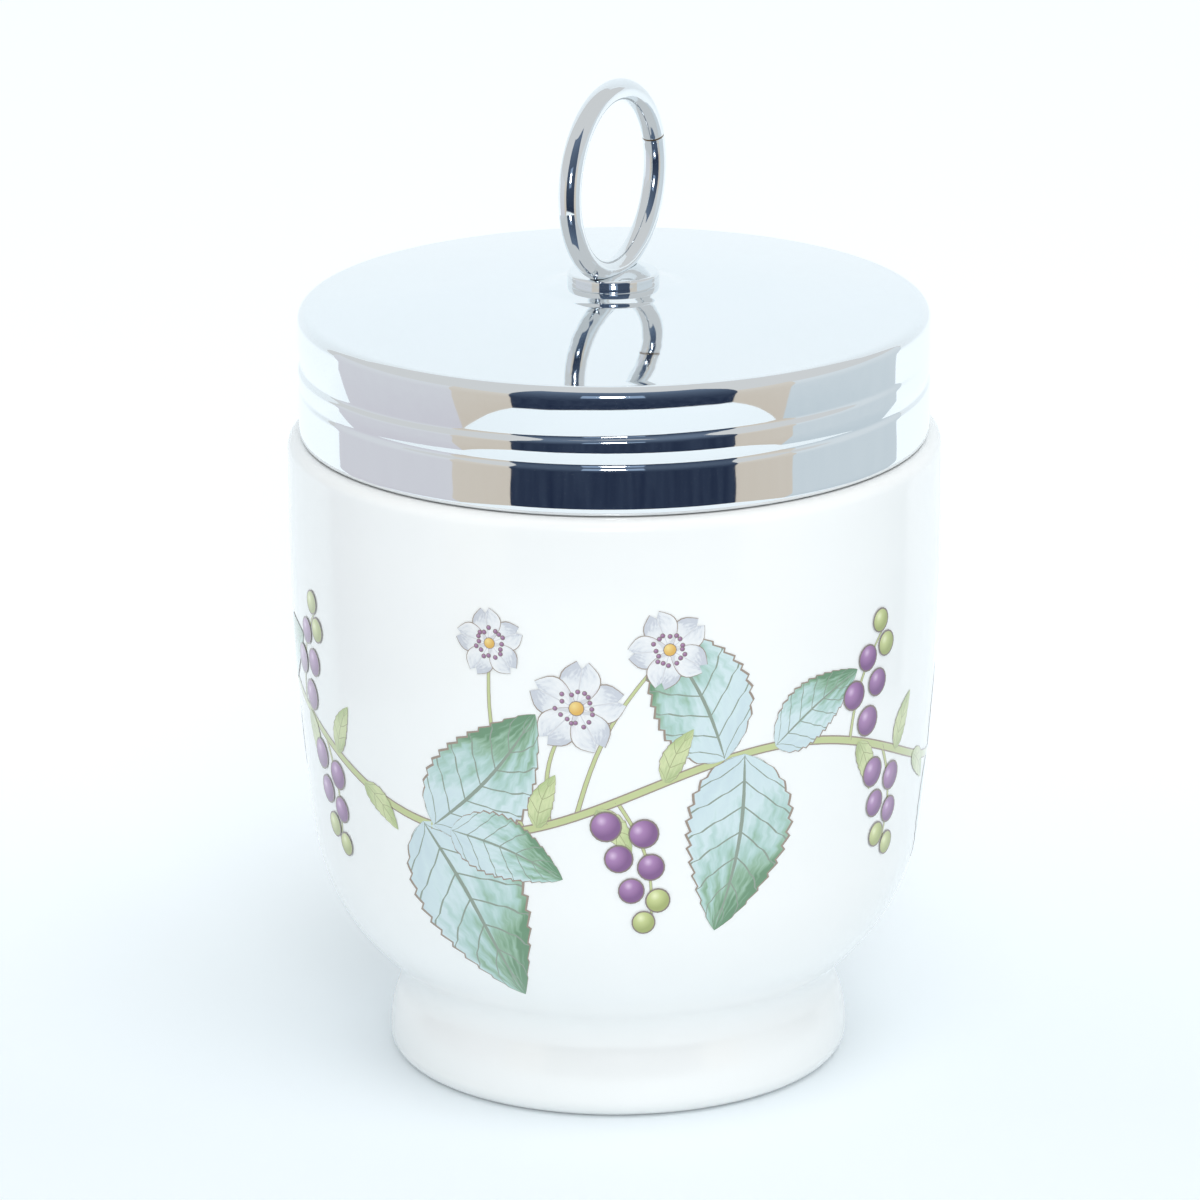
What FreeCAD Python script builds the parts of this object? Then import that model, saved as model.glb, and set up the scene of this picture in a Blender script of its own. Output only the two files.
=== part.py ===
import FreeCAD, Part
import math
import os

import Sketcher

# Porcelain egg coddler: a footed porcelain cup, and a chromed screw cap with a wire ring on top.
# Millimetres. +Z is up, the origin is the middle of the foot's underside, and -Y is the front.
# Angles round the axis are in degrees from the front, counter-clockwise seen from above.

doc = FreeCAD.newDocument("EggCoddler")
sheet = doc.addObject("Spreadsheet::Sheet", "Sizes")

SIZES = [
    # The cup's outside, from the foot up
    ("foot_toe_round", 2.0, "rounding under the foot's outer edge"),
    ("foot_widest_height", 2.5, "height where the foot's flank starts to lean in"),
    ("flank_curve", 10.96, "curve of the foot's flank"),
    ("flank_degrees", 21.9, "angle that the flank leans in"),
    ("waist_curve", 4.05, "hollow curve of the waist"),
    ("waist_degrees", 71.05, "angle that the waist turns out again"),
    ("bowl_curve", 21.14, "curve of the bowl above the waist"),
    ("bowl_degrees", 42.1, "angle that the bowl turns up"),
    ("wall_curve", 280.0, "slight swell of the side wall"),
    ("wall_straight", 5.68, "upright stretch at the top of the side wall"),
    ("wall_stand", 1.18, "how far the side wall stands out past the cap"),
    ("shoulder_round", 1.3, "rounding of the porcelain just below the cap"),
    # The cup's neck, inside and foot ring
    ("neck_root_bevel", 0.5, "bevel where the neck meets the ledge"),
    ("neck_wall", 2.6, "thickness of the neck"),
    ("lip_bevel", 0.9, "bevel on both edges of the lip"),
    ("hollow_step", 1.1, "how much wider the inside is below the neck"),
    ("hollow_step_bottom", 7.9, "from the ledge down to where the inside draws in"),
    ("hollow_step_top", 1.1, "from the ledge up to where the inside has drawn in"),
    ("hollow_curve", 14.3, "curve from the inside wall to the floor"),
    ("floor_thickness", 4.4, "porcelain between the inside and the foot's hollow"),
    ("recess_height", 5.4, "hollow under the foot"),
    ("foot_land", 2.05, "width of the flat ring that the cup stands on"),
    ("foot_heel_bevel", 0.9, "bevel of the foot's inner edge"),
    # The screw cap, pressed from one sheet
    ("cap_radius", 32.0, "outside of the cap"),
    ("cap_sheet", 0.4, "thickness of the cap's metal"),
    ("cap_height", 13.0, "from the cap's lower edge to the rim of its top"),
    ("cap_corner", 1.2, "rounding from the cap's top to its side"),
    ("cap_rise", 1.0, "how far the top swells above its rim"),
    ("boss_rise", 1.2, "raised seat round the ring's foot"),
    ("boss_rim", 0.25, "flat top of that seat outside the rivet's head"),
    ("boss_slope", 3.1, "from that flat top out to the foot of the seat"),
    ("cap_gap", 0.3, "from the cap's lower edge to the ledge"),
    ("lip_gap", 0.45, "from the lip to the cap's inside at the rim of its top"),
    # The screw thread, shared by cap and neck
    ("lead", 3.0, "rise of the thread in one turn"),
    ("groove_round", 0.75, "half width of the groove that is rolled into the cap's side"),
    ("groove_height", 7.3, "upper turn of the groove above the cap's lower edge, at the front"),
    ("groove_start_degrees", -27.0, "angle from the front to the groove's lower end"),
    ("groove_turn_degrees", 470.0, "angle that the groove winds, with both run-outs"),
    ("groove_runout_degrees", 62.0, "angle in which the groove fades out"),
    ("thread_gap", 0.55, "from the neck to the groove's bead inside the cap"),
    ("ridge_round", 0.6, "half width of the thread on the neck"),
    ("ridge_gap", 0.35, "from that thread to the cap's inside"),
    ("ridge_start_degrees", -12.0, "angle from the front to its lower end"),
    ("ridge_turn_degrees", 430.0, "angle that it winds, with both run-outs"),
    ("ridge_runout_degrees", 40.0, "angle in which it fades out"),
    # The ring, and the rivet and washer that hold it
    ("ring_radius", 10.3, "outside of the ring"),
    ("ring_wire", 1.15, "radius of its wire"),
    ("ring_degrees", 62.0, "angle that the ring is turned from facing the front"),
    ("head_radius", 4.65, "round rivet head that the ring is brazed into"),
    ("head_height", 1.25, "height of the head"),
    ("head_bevel", 0.2, "bevel of the head's upper edge"),
    ("saddle_floor", 0.3, "metal left under the ring in the head"),
    ("braze_gap", 0.02, "film of braze between the ring and the head"),
    ("shank_radius", 1.6, "rivet shank through the cap"),
    ("shank_fit", 0.02, "play of the shank in the cap's hole"),
    ("washer_radius", 4.5, "washer under the cap"),
    ("washer_sheet", 0.6, "thickness of the washer"),
    ("washer_gap", 0.05, "running gap round the washer"),
    ("peen_spread", 1.1, "how far the rivet's end spreads past its shank"),
    ("peen_height", 0.9, "height of the spread end"),
]

for row, (name, number, meaning) in enumerate(SIZES, start=1):
    sheet.set(f"A{row}", meaning)
    sheet.set(f"B{row}", str(number))
    sheet.setAlias(f"B{row}", name)
doc.recompute()


def size(name):
    """A driving dimension, read from the sheet."""
    return float(getattr(sheet, name))


def value(expression):
    """What an expression comes to now, as a plain number."""
    result = sheet.evalExpression(expression)
    return float(getattr(result, "Value", result))


def arc_step(curve, heading, new_heading, bend):
    """How far out and up an arc goes that turns from one heading, in degrees, to another."""
    sign = "" if bend > 0 else "-"
    other = "-" if bend > 0 else ""
    return (f"{sign}{curve} * (sin({new_heading}) - sin({heading}))",
            f"{other}{curve} * (cos({new_heading}) - cos({heading}))")


# The cup's side is a chain of tangent arcs. Its top stands just outside the cap.
FLANK_HEADING = "90 + Sizes.flank_degrees"
WAIST_HEADING = f"{FLANK_HEADING} - Sizes.waist_degrees"
BOWL_HEADING = f"{WAIST_HEADING} + Sizes.bowl_degrees"
FLANK = arc_step("Sizes.flank_curve", "90", FLANK_HEADING, 1)
WAIST = arc_step("Sizes.waist_curve", FLANK_HEADING, WAIST_HEADING, -1)
BOWL = arc_step("Sizes.bowl_curve", WAIST_HEADING, BOWL_HEADING, 1)
WALL = arc_step("Sizes.wall_curve", BOWL_HEADING, "90", 1)
WALL_RADIUS = "Sizes.cap_radius + Sizes.wall_stand"
FOOT_RADIUS = f"{WALL_RADIUS} - ({FLANK[0]}) - ({WAIST[0]}) - ({BOWL[0]}) - ({WALL[0]})"
WALL_TOP = f"Sizes.foot_widest_height + {FLANK[1]} + {WAIST[1]} + {BOWL[1]} + {WALL[1]}"

# Radii and heights that several pieces share, as expressions of the sheet's cells
LEDGE = f"{WALL_TOP} + Sizes.wall_straight + Sizes.shoulder_round"
CAP_INSIDE = "Sizes.cap_radius - Sizes.cap_sheet"
NECK = f"{CAP_INSIDE} - Sizes.groove_round - Sizes.thread_gap"
CAP_EDGE = f"{LEDGE} + Sizes.cap_gap"
CAP_TOP = f"{CAP_EDGE} + Sizes.cap_height"
CAP_SIDE_TOP = f"{CAP_TOP} - Sizes.cap_corner"
TOP_RADIUS = "Sizes.cap_radius - Sizes.cap_corner"
CAP_DOME = f"(({TOP_RADIUS}) ^ 2 + Sizes.cap_rise ^ 2) / (2 * Sizes.cap_rise)"
SEAT = f"{CAP_TOP} + Sizes.cap_rise + Sizes.boss_rise"
HEAD_TOP = f"{SEAT} + Sizes.head_height"
UNDER_SEAT = f"{SEAT} - Sizes.cap_sheet"
WASHER_TOP = f"{UNDER_SEAT} - Sizes.washer_gap"
WASHER_FOOT = f"{WASHER_TOP} - Sizes.washer_sheet"
PEEN_TOP = f"{WASHER_FOOT} - Sizes.washer_gap"
RING_CENTRE = f"{SEAT} + Sizes.saddle_floor + Sizes.braze_gap + Sizes.ring_radius"
LIP = f"{CAP_TOP} - Sizes.cap_sheet - Sizes.lip_gap"


def arc_between(start, end, radius, bend):
    """The short arc from start to end, bending left (+1) or right (-1) on the way."""
    middle = (start + end) * 0.5
    chord = end - start
    left = FreeCAD.Vector(-chord.y, chord.x, 0).normalize()
    to_centre = math.sqrt(max(radius ** 2 - (chord.Length / 2) ** 2, 0))
    centre = middle + left * (bend * to_centre)
    return Part.Arc(start, centre - left * (bend * radius), end)


def end_at(sketch, edge, point):
    """Which end of a sketch edge, 1 or 2, lies at the point."""
    ends = {end: (sketch.getPoint(edge, end) - point).Length for end in (1, 2)}
    return min(ends, key=ends.get)


def pin(sketch, edge, end, corner):
    """Fix an edge's end at a corner, given as expressions for its radius and height."""
    for axis, kind, expression in ((-2, "DistanceX", corner[0]), (-1, "DistanceY", corner[1])):
        if expression == "0":
            sketch.addConstraint(Sketcher.Constraint("PointOnObject", edge, end, axis))
            continue
        number = sketch.addConstraint(
            Sketcher.Constraint(kind, -1, 1, edge, end, value(expression)))
        sketch.setExpression(f"Constraints[{number}]", expression)


def turned(label, steps):
    """A body turned round Z from one closed profile. Each step is a corner's radius and height,
    and for a curved edge after it also the curve's radius and the side it bends to. The cap's
    dome is a ball's surface, so its curve is held by a centre on the axis and not by a radius."""
    body = doc.addObject("PartDesign::Body", f"{label}_blank")
    sketch = body.newObject("Sketcher::SketchObject", f"{label}_profile")
    plane = next(f for f in body.Origin.OriginFeatures if f.Role == "XZ_Plane")
    sketch.AttachmentSupport = [(plane, "")]
    sketch.MapMode = "FlatFace"
    corners = [step[:2] for step in steps]
    points = [FreeCAD.Vector(value(radius), value(height), 0) for radius, height in corners]
    for index, step in enumerate(steps):
        start = points[index]
        end = points[(index + 1) % len(points)]
        if len(step) == 4:
            sketch.addGeometry(arc_between(start, end, value(step[2]), step[3]), False)
        else:
            sketch.addGeometry(Part.LineSegment(start, end), False)
    for index, point in enumerate(points):
        before = (index - 1) % len(points)
        here = end_at(sketch, index, point)
        sketch.addConstraint(Sketcher.Constraint(
            "Coincident", before, end_at(sketch, before, point), index, here))
        pin(sketch, index, here, corners[index])
    for index, step in enumerate(steps):
        if len(step) == 4 and step[2] == CAP_DOME:
            sketch.addConstraint(Sketcher.Constraint("PointOnObject", index, 3, -2))
        elif len(step) == 4:
            number = sketch.addConstraint(Sketcher.Constraint("Radius", index, value(step[2])))
            sketch.setExpression(f"Constraints[{number}]", step[2])
    turn = body.newObject("PartDesign::Revolution", f"{label}_turned")
    turn.Profile = sketch
    turn.ReferenceAxis = (sketch, ["V_Axis"])
    turn.Angle = 360
    body.Tip = turn
    doc.recompute()
    return body


# The neck's thread and the cap's groove
THREAD_STEP_DEGREES = 24        # between the points of the helix, and so the length of its spans
THREAD_SIDES = 6                # flat sides of the rod that cuts or makes it


def fade(angle, start, turn, runout):
    """From 0 at both ends of a thread to 1 over its full depth, with a smooth run-out."""
    near = min(angle - start, start + turn - angle) / runout
    step = min(max(near, 0), 1)
    return step * step * (3 - 2 * step)


def rod_section(middle, along, rod):
    """A six-sided outline square to the thread, with one corner towards the axis."""
    outward = FreeCAD.Vector(middle.x, middle.y, 0).normalize()
    across = along.cross(outward).normalize()
    swings = [2 * math.pi * side / THREAD_SIDES for side in range(THREAD_SIDES + 1)]
    return Part.makePolygon([
        middle + (outward * math.cos(swing) + across * math.sin(swing)) * rod for swing in swings])


def thread(name, rod, full_radius, end_radius, lift):
    """A rod that winds up the thread's helix and fades out at both ends."""
    start, turn, runout = (size(f"{name}_{part}_degrees") for part in ("start", "turn", "runout"))
    foot = value(CAP_EDGE) + size("groove_height") + lift - size("lead")
    count = math.ceil(turn / THREAD_STEP_DEGREES)
    points = []
    for step in range(count + 1):
        angle = start + turn * step / count
        radius = end_radius + (full_radius - end_radius) * fade(angle, start, turn, runout)
        height = foot + size("lead") * angle / 360
        swing = math.radians(angle)
        points.append(FreeCAD.Vector(radius * math.sin(swing), -radius * math.cos(swing), height))
    curve = Part.BSplineCurve()
    curve.interpolate(points)
    knots = curve.getKnots()
    path = Part.Wire([curve.toShape(near, far) for near, far in zip(knots, knots[1:])])
    shell = Part.BRepOffsetAPI.MakePipeShell(path)
    shell.setBiNormalMode(FreeCAD.Vector(0, 0, 1))
    shell.add(rod_section(points[0], curve.tangent(curve.FirstParameter)[0], rod))
    shell.build()
    shell.makeSolid()
    return shell.shape()


def shaped(label, shape):
    """A document object that holds a shape worked out above."""
    feature = doc.addObject("Part::Feature", label)
    feature.Shape = shape
    return feature


def boolean(kind, label, base, tool):
    """A cut, fuse or common of two objects."""
    result = doc.addObject(f"Part::{kind}", label)
    result.Base = base
    result.Tool = tool
    return result


# The cup: foot ring, waist, bowl, wall, neck, mouth and floor
def after(corner, step):
    """The corner that lies one step further out and up."""
    return f"{corner[0]} + {step[0]}", f"{corner[1]} + {step[1]}"


flank_foot = (FOOT_RADIUS, "Sizes.foot_widest_height")
waist_foot = after(flank_foot, FLANK)
bowl_foot = after(waist_foot, WAIST)
wall_foot = after(bowl_foot, BOWL)
FOOT_INNER = f"{FOOT_RADIUS} - Sizes.foot_toe_round - Sizes.foot_land"
FLOOR = "Sizes.recess_height + Sizes.floor_thickness"
MOUTH = f"{NECK} - Sizes.neck_wall"
HOLLOW = f"{MOUTH} + Sizes.hollow_step"

cup = turned("porcelain_cup", [
    ("0", "Sizes.recess_height"),
    (f"{FOOT_INNER} - Sizes.foot_heel_bevel", "Sizes.recess_height"),
    (f"{FOOT_INNER} - Sizes.foot_heel_bevel", "Sizes.foot_heel_bevel"),
    (FOOT_INNER, "0"),
    (f"{FOOT_RADIUS} - Sizes.foot_toe_round", "0", "Sizes.foot_toe_round", 1),
    (FOOT_RADIUS, "Sizes.foot_toe_round"),
    (*flank_foot, "Sizes.flank_curve", 1),
    (*waist_foot, "Sizes.waist_curve", -1),
    (*bowl_foot, "Sizes.bowl_curve", 1),
    (*wall_foot, "Sizes.wall_curve", 1),
    (WALL_RADIUS, WALL_TOP),
    (WALL_RADIUS, f"{LEDGE} - Sizes.shoulder_round", "Sizes.shoulder_round", 1),
    (f"{WALL_RADIUS} - Sizes.shoulder_round", LEDGE),
    (f"{NECK} + Sizes.neck_root_bevel", LEDGE),
    (NECK, f"{LEDGE} + Sizes.neck_root_bevel"),
    (NECK, f"{LIP} - Sizes.lip_bevel"),
    (f"{NECK} - Sizes.lip_bevel", LIP),
    (f"{MOUTH} + Sizes.lip_bevel", LIP),
    (MOUTH, f"{LIP} - Sizes.lip_bevel"),
    (MOUTH, f"{LEDGE} + Sizes.hollow_step_top"),
    (HOLLOW, f"{LEDGE} - Sizes.hollow_step_bottom"),
    (HOLLOW, f"{FLOOR} + Sizes.hollow_curve", "Sizes.hollow_curve", -1),
    (f"{HOLLOW} - Sizes.hollow_curve", FLOOR),
    ("0", FLOOR),
])
ridge_middle = value(CAP_INSIDE) - size("ridge_gap") - size("ridge_round")
ridge_sunk = value(NECK) - size("ridge_round") - size("ridge_round") / 6
neck_ridge = shaped("neck_ridge", thread(
    "ridge", size("ridge_round"), ridge_middle, ridge_sunk, size("lead") / 2))
porcelain_cup = boolean("Fuse", "porcelain_cup", cup, neck_ridge)

# The cap: one pressed sheet with a swollen top, a raised seat and a rolled thread groove
BOSS_TOP_RADIUS = "Sizes.head_radius + Sizes.boss_rim"
BOSS_RADIUS = f"{BOSS_TOP_RADIUS} + Sizes.boss_slope"
BOSS_FOOT = f"{CAP_TOP} + Sizes.cap_rise * (1 - (({BOSS_RADIUS}) / ({TOP_RADIUS})) ^ 2)"
BOSS_MIDDLE = f"({SEAT} + {BOSS_FOOT}) / 2"
BOSS_MIDDLE_RADIUS = f"{BOSS_TOP_RADIUS} + Sizes.boss_slope / 2"
HALF_WIDTH = "Sizes.boss_slope / 2"
HALF_DROP = f"({SEAT} - ({BOSS_FOOT})) / 2"
BOSS_CURVE = f"(({HALF_WIDTH}) ^ 2 + ({HALF_DROP}) ^ 2) / (2 * {HALF_DROP})"
HOLE = "Sizes.shank_radius + Sizes.shank_fit"

cap = turned("lid_cap", [
    (HOLE, SEAT),
    (BOSS_TOP_RADIUS, SEAT, BOSS_CURVE, -1),
    (BOSS_MIDDLE_RADIUS, BOSS_MIDDLE, BOSS_CURVE, 1),
    (BOSS_RADIUS, BOSS_FOOT, CAP_DOME, -1),
    (TOP_RADIUS, CAP_TOP, "Sizes.cap_corner", -1),
    ("Sizes.cap_radius", CAP_SIDE_TOP),
    ("Sizes.cap_radius", CAP_EDGE),
    (CAP_INSIDE, CAP_EDGE),
    (CAP_INSIDE, CAP_SIDE_TOP),
    (TOP_RADIUS, f"{CAP_TOP} - Sizes.cap_sheet", CAP_DOME, 1),
    (BOSS_RADIUS, f"{BOSS_FOOT} - Sizes.cap_sheet"),
    (BOSS_TOP_RADIUS, UNDER_SEAT),
    (HOLE, UNDER_SEAT),
])
bead_round = size("groove_round") + size("cap_sheet")
groove_end = size("cap_radius") + bead_round * 1.1
bead_rod = shaped("bead_rod", thread("groove", bead_round, size("cap_radius"), groove_end, 0))
groove_rod = shaped("groove_rod", thread(
    "groove", size("groove_round"), size("cap_radius"), groove_end, 0))
cap_core = doc.addObject("Part::Cylinder", "cap_core")
cap_core.setExpression("Radius", "Sizes.cap_radius - Sizes.cap_sheet / 2")
cap_core.setExpression("Height", f"{CAP_SIDE_TOP} - ({CAP_EDGE})")
cap_core.setExpression("Placement.Base.z", CAP_EDGE)
inner_bead = boolean("Common", "inner_bead", bead_rod, cap_core)
beaded_cap = boolean("Fuse", "beaded_cap", cap, inner_bead)
lid_cap = boolean("Cut", "lid_cap", beaded_cap, groove_rod)

# The ring stands up on the cap, brazed into a saddle across the rivet's head
lid_ring = doc.addObject("Part::Torus", "lid_ring")
saddle = doc.addObject("Part::Torus", "saddle")
upright = FreeCAD.Rotation(FreeCAD.Vector(1, 0, 0), 90)
turn_ring = FreeCAD.Rotation(FreeCAD.Vector(0, 0, 1), size("ring_degrees"))
for torus, gap in ((lid_ring, ""), (saddle, " + Sizes.braze_gap")):
    torus.setExpression("Radius1", "Sizes.ring_radius - Sizes.ring_wire")
    torus.setExpression("Radius2", f"Sizes.ring_wire{gap}")
    torus.Placement = FreeCAD.Placement(FreeCAD.Vector(0, 0, 0), turn_ring * upright)
    torus.setExpression("Placement.Base.z", RING_CENTRE)

PEEN_RADIUS = "Sizes.shank_radius + Sizes.peen_spread"
rivet = turned("ring_rivet", [
    ("0", HEAD_TOP),
    ("Sizes.head_radius - Sizes.head_bevel", HEAD_TOP),
    ("Sizes.head_radius", f"{HEAD_TOP} - Sizes.head_bevel"),
    ("Sizes.head_radius", SEAT),
    ("Sizes.shank_radius", SEAT),
    ("Sizes.shank_radius", PEEN_TOP),
    (PEEN_RADIUS, PEEN_TOP),
    (PEEN_RADIUS, f"{PEEN_TOP} - Sizes.peen_height / 3"),
    (f"{PEEN_RADIUS} - Sizes.peen_height * 2 / 3", f"{PEEN_TOP} - Sizes.peen_height"),
    ("0", f"{PEEN_TOP} - Sizes.peen_height"),
])
ring_rivet = boolean("Cut", "ring_rivet", rivet, saddle)

# The washer under the cap, with a running gap all round
WASHER_HOLE = "Sizes.shank_radius + Sizes.washer_gap"
rivet_washer = turned("rivet_washer", [
    (WASHER_HOLE, WASHER_FOOT),
    ("Sizes.washer_radius", WASHER_FOOT),
    ("Sizes.washer_radius", WASHER_TOP),
    (WASHER_HOLE, WASHER_TOP),
])

doc.recompute()

SUBPARTS = {
    "porcelain_cup": porcelain_cup,
    "lid_cap": lid_cap,
    "lid_ring": lid_ring,
    "ring_rivet": ring_rivet,
    "rivet_washer": rivet_washer,
}
for thing in doc.Objects:
    if "Invalid" in thing.State or "Error" in thing.State:
        raise RuntimeError(f"{thing.Name} failed: {thing.State}")

os.makedirs("parts", exist_ok=True)
for label, thing in SUBPARTS.items():
    thing.Label = label
    shape = thing.Shape
    if shape.isNull() or not shape.isValid() or len(shape.Solids) != 1:
        raise RuntimeError(f"{label} isn't one valid solid")
    shape.exportStep(f"parts/{label}.step")
    box = shape.BoundBox
    print(f"{label}: {shape.Volume:.1f} mm3, z {box.ZMin:.2f} to {box.ZMax:.2f}, "
          f"{box.XLength:.2f} wide")
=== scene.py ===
# %% [markdown]
# # A porcelain egg coddler
# An egg coddler is a small glazed porcelain cup with a chromed screw cap. An egg is cooked inside
# it in simmering water, and the wire ring on the cap lifts it out. The sizes and the moving parts
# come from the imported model, which is loaded first and never changed.

# %% Load the frame
import math
import random

import bpy
from mathutils import Matrix, Vector


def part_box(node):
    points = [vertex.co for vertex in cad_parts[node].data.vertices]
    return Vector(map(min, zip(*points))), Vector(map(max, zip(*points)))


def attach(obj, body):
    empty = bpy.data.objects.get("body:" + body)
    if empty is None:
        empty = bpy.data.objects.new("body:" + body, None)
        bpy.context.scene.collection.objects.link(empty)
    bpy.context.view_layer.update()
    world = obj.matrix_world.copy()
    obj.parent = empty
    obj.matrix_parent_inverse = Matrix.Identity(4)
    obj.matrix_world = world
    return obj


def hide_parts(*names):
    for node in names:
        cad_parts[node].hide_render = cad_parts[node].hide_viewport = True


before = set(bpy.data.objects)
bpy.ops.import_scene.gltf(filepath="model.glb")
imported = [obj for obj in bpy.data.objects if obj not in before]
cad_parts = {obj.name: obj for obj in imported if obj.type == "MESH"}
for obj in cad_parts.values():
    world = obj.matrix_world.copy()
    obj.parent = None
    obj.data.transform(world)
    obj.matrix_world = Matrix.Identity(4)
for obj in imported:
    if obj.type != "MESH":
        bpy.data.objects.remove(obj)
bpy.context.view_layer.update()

MM = 0.001

# %% [markdown]
# ## Sizes from the frame
# Each piece that is made here takes its place from the box of the solid that it stands for, so
# that the two always fit. Angles round the axis start at the front, where the camera is.

# %% Sizes of the solids
cup_low, cup_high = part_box("porcelain_cup")
cap_low, cap_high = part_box("lid_cap")
ring_low, ring_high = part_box("lid_ring")
rivet_low, rivet_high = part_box("ring_rivet")

WALL_RADIUS = cup_high.x
CAP_RADIUS = cap_high.x
CAP_EDGE = cap_low.z
CAP_SIDE = 13 * MM
CAP_TOP = CAP_EDGE + CAP_SIDE
SEAT = cap_high.z
GAP_UNDER_CAP = 0.08 * MM
LEDGE = CAP_EDGE - GAP_UNDER_CAP
LIP = cup_high.z
RING_MIDDLE = (ring_low.z + ring_high.z) / 2
RING_OUTSIDE = (ring_high.z - ring_low.z) / 2
WIRE = 1.15 * MM
RING_TURN = math.radians(62)
print(f"cap {CAP_EDGE / MM:.2f} to {SEAT / MM:.2f} mm high, {2 * CAP_RADIUS / MM:.1f} mm across")

# %% [markdown]
# ## The camera
# The photograph was taken from about 0.8 m away with a long lens, 17 degrees above the level.
# The ellipses of the cap's rim and the height of the cup give the place, the lens and the tilt.

# %% Camera
CAMERA_PLACE = Vector((0, -742.3, 278.3)) * MM
YAW, PITCH, ROLL = (math.radians(angle) for angle in (-0.1224, 17.2478, -0.4122))

forward = Vector((math.sin(YAW) * math.cos(PITCH), math.cos(YAW) * math.cos(PITCH),
                  -math.sin(PITCH)))
level = Vector((math.cos(YAW), -math.sin(YAW), 0))
upward = level.cross(forward)
right = level * math.cos(ROLL) + upward * math.sin(ROLL)
top = upward * math.cos(ROLL) - level * math.sin(ROLL)

camera_data = bpy.data.cameras.new("camera")
camera_data.sensor_width = 36
camera_data.lens = 228
camera_data.clip_start = 0.05
camera = bpy.data.objects.new("camera", camera_data)
camera.matrix_world = Matrix((right, top, -forward)).transposed().to_4x4()
camera.location = CAMERA_PLACE
bpy.context.scene.collection.objects.link(camera)
bpy.context.scene.camera = camera
bpy.context.scene.view_settings.view_transform = "Standard"
print("camera at", [round(x, 4) for x in camera.location])

# %% [markdown]
# ## Curves for profiles
# A turned piece is drawn as half of its section and swept round the axis. A pen that runs
# straight or along an arc draws the section, as a draughtsman would, so no list of points is
# needed.


# %% Pen for sections
def arc(start, end, radius, bend, steps):
    """Points along the short arc to end, bending left (+1) or right (-1). The start is left out."""
    start, end = Vector(start), Vector(end)
    chord = end - start
    left = Vector((-chord.y, chord.x)).normalized()
    depth = math.sqrt(max(radius ** 2 - (chord.length / 2) ** 2, 0))
    centre = (start + end) / 2 + left * (bend * depth)
    first = math.atan2(start.y - centre.y, start.x - centre.x)
    sweep = 2 * math.asin(min(chord.length / (2 * radius), 1)) * bend
    return [(centre.x + radius * math.cos(first + sweep * step / steps),
             centre.y + radius * math.sin(first + sweep * step / steps))
            for step in range(1, steps + 1)]


def line(start, end, longest):
    """Points along a straight stretch, no further apart than longest. The start is left out."""
    steps = max(1, math.ceil((Vector(end) - Vector(start)).length / longest))
    return [tuple(Vector(start).lerp(Vector(end), step / steps)) for step in range(1, steps + 1)]


def bend_on(outline, heading, radius, degrees, steps):
    """Draw on from the outline's end along an arc that turns by so many degrees."""
    bend = 1 if degrees > 0 else -1
    side = math.radians(heading + 90 * bend)
    x, z = outline[-1]
    centre = (x + radius * math.cos(side), z + radius * math.sin(side))
    for step in range(1, steps + 1):
        turned = side + math.pi + math.radians(degrees * step / steps)
        outline.append((centre[0] + radius * math.cos(turned), centre[1] + radius * math.sin(turned)))
    return heading + degrees


# %% [markdown]
# ## A lathe
# The cup, the cap and the rivet are all round. Blender's Screw modifier could turn a section
# into a round piece, but the threads need each point moved by its own angle and height, so the
# points are placed here one by one, and a shape function may move each of them.


# %% Lathe
def new_piece(name, vertices, faces, finish):
    """A mesh object from plain lists, shaded smooth."""
    mesh = bpy.data.meshes.new(name)
    mesh.from_pydata(vertices, [], faces)
    mesh.validate()
    mesh.polygons.foreach_set("use_smooth", [True] * len(mesh.polygons))
    mesh.materials.append(finish)
    piece = bpy.data.objects.new(name, mesh)
    bpy.context.scene.collection.objects.link(piece)
    return piece


def lathe(name, outline, finish, closed=False, around=384, shape=None):
    """Sweep a section round the axis. Where the section touches the axis, it makes one point."""
    vertices, faces, rings = [], [], []
    for radius, height in outline:
        if radius < 1e-9:
            rings.append([len(vertices)] * around)
            vertices.append((0, 0, height))
            continue
        rings.append(list(range(len(vertices), len(vertices) + around)))
        for step in range(around):
            angle = 2 * math.pi * step / around
            away, up = shape(angle, radius, height) if shape else (radius, height)
            vertices.append((away * math.sin(angle), -away * math.cos(angle), up))
    pairs = list(zip(rings, rings[1:])) + ([(rings[-1], rings[0])] if closed else [])
    for lower, upper in pairs:
        for step in range(around):
            nearby = (step + 1) % around
            corners = [lower[step], lower[nearby], upper[nearby], upper[step]]
            faces.append([corner for place, corner in enumerate(corners)
                          if corner != corners[place - 1]])
    piece = new_piece(name, vertices, faces, finish)
    print(f"{name}: {len(faces)} faces")
    return piece


# %% [markdown]
# ## Material helpers
# Colours are written as sRGB hex values, as a designer reads them from a screen, and one function
# turns them to the linear values that Blender mixes. A second function adds a node of any kind,
# which keeps each material's own function short enough to read at a glance. A noise's scale is
# one over the size of its spots, in metres.


# %% Colours and nodes
def colour(text):
    """A hex colour as linear red, green, blue and alpha."""
    channels = [int(text[place:place + 2], 16) / 255 for place in (1, 3, 5)]
    return [channel / 12.92 if channel <= 0.04045 else ((channel + 0.055) / 1.055) ** 2.4
            for channel in channels] + [1]


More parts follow.
